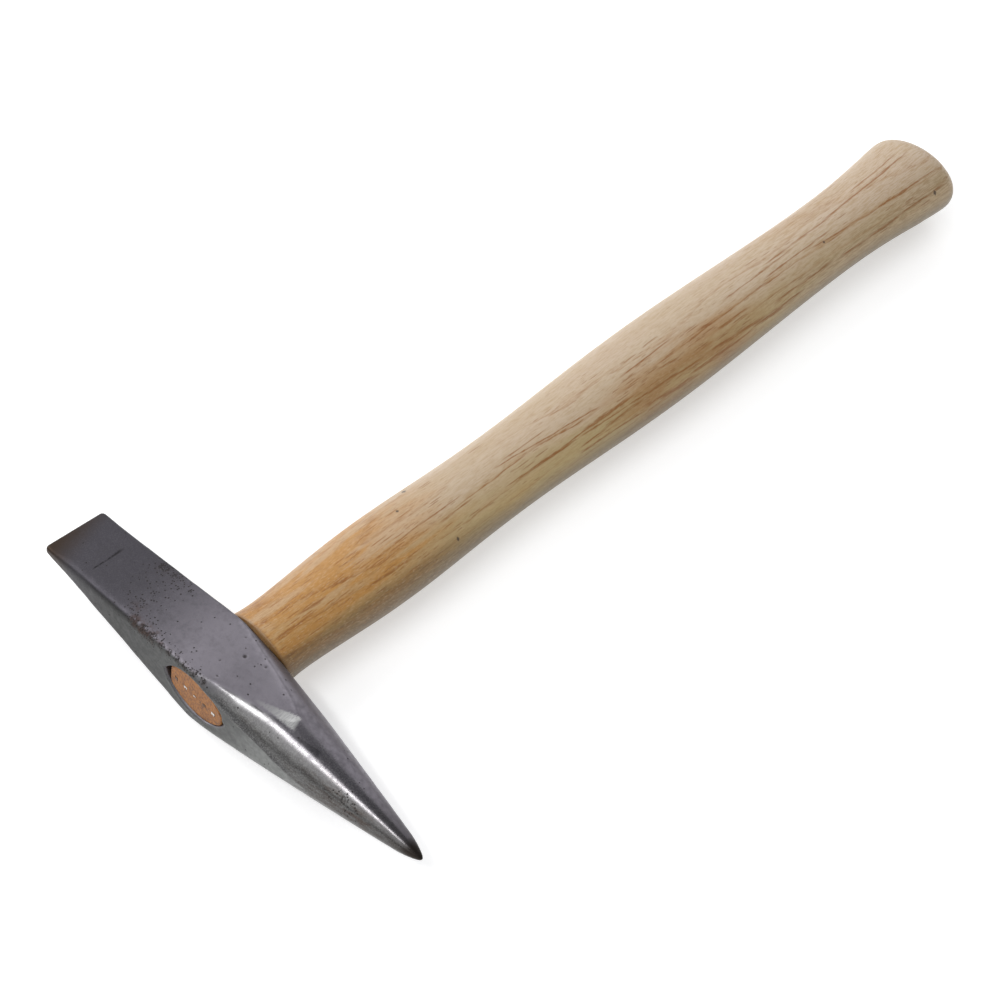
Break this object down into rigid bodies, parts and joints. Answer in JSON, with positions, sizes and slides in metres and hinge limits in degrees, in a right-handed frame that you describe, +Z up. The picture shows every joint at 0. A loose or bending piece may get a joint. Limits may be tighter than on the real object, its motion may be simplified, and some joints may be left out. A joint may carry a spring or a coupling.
{
  "type": "chipping hammer",
  "caption": "Hand hammer whose forged steel head has a chisel edge at one end and a ground point at the other, wedged on a shaped wooden handle.",
  "frame": {"origin": "on the surface that the hammer lies on, under the middle of its outline", "axes": "+X from the chisel edge to the point, +Y along the handle from the head to the butt, +Z up through the cheeks"},
  "size_m": [0.1509, 0.3147, 0.0261],
  "materials": {
    "head_steel": "forged and scaled, satin; ground bright at the point",
    "handle_ash": "sanded ash under a thin satin lacquer",
    "wedge_steel": "plain bright steel"
  },
  "bodies": {
    "root": {"head": "head_steel", "handle": "handle_ash", "wedge": "wedge_steel"}
  },
  "joints": []
}
